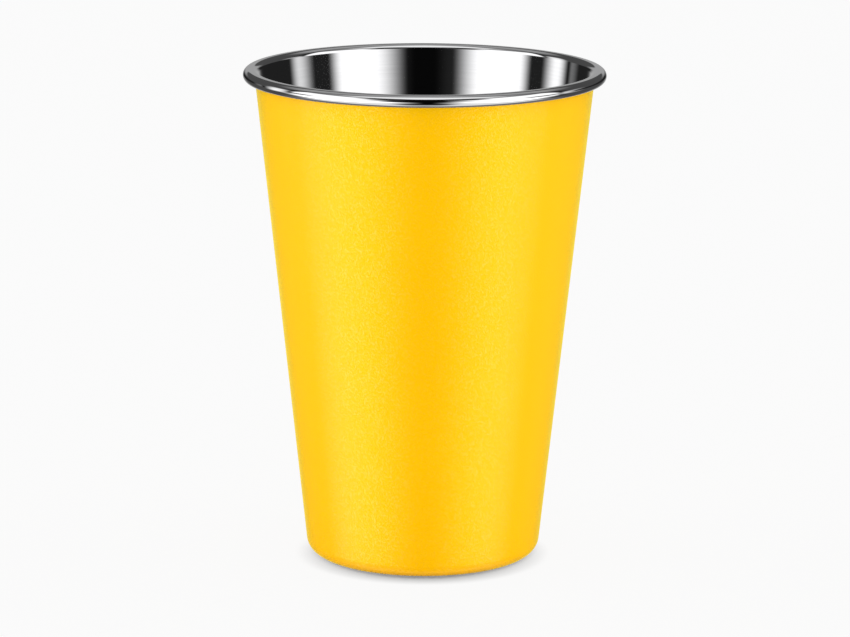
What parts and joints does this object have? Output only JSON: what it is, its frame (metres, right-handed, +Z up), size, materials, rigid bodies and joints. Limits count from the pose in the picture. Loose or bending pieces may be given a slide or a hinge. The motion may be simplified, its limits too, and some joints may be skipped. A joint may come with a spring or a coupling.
{
  "type": "shot cup",
  "caption": "Tapered single-wall steel shot cup with a rolled rim, a raised base panel, a bare polished inside and a matt yellow powder coat outside.",
  "frame": {"origin": "centre of the base, on the surface that the cup stands on", "axes": "+Z up along the cup's axis, towards the mouth; X and Y are any two level directions, because the cup is round"},
  "size_m": [0.048, 0.048, 0.0655],
  "materials": {
    "steel": "polished inside and on the rim, with faint spin lines round the axis",
    "coat": "satin yellow powder coat with a fine leather-like grain"
  },
  "bodies": {
    "root": {"steel_cup": "steel", "powder_coat": "coat"}
  },
  "joints": []
}
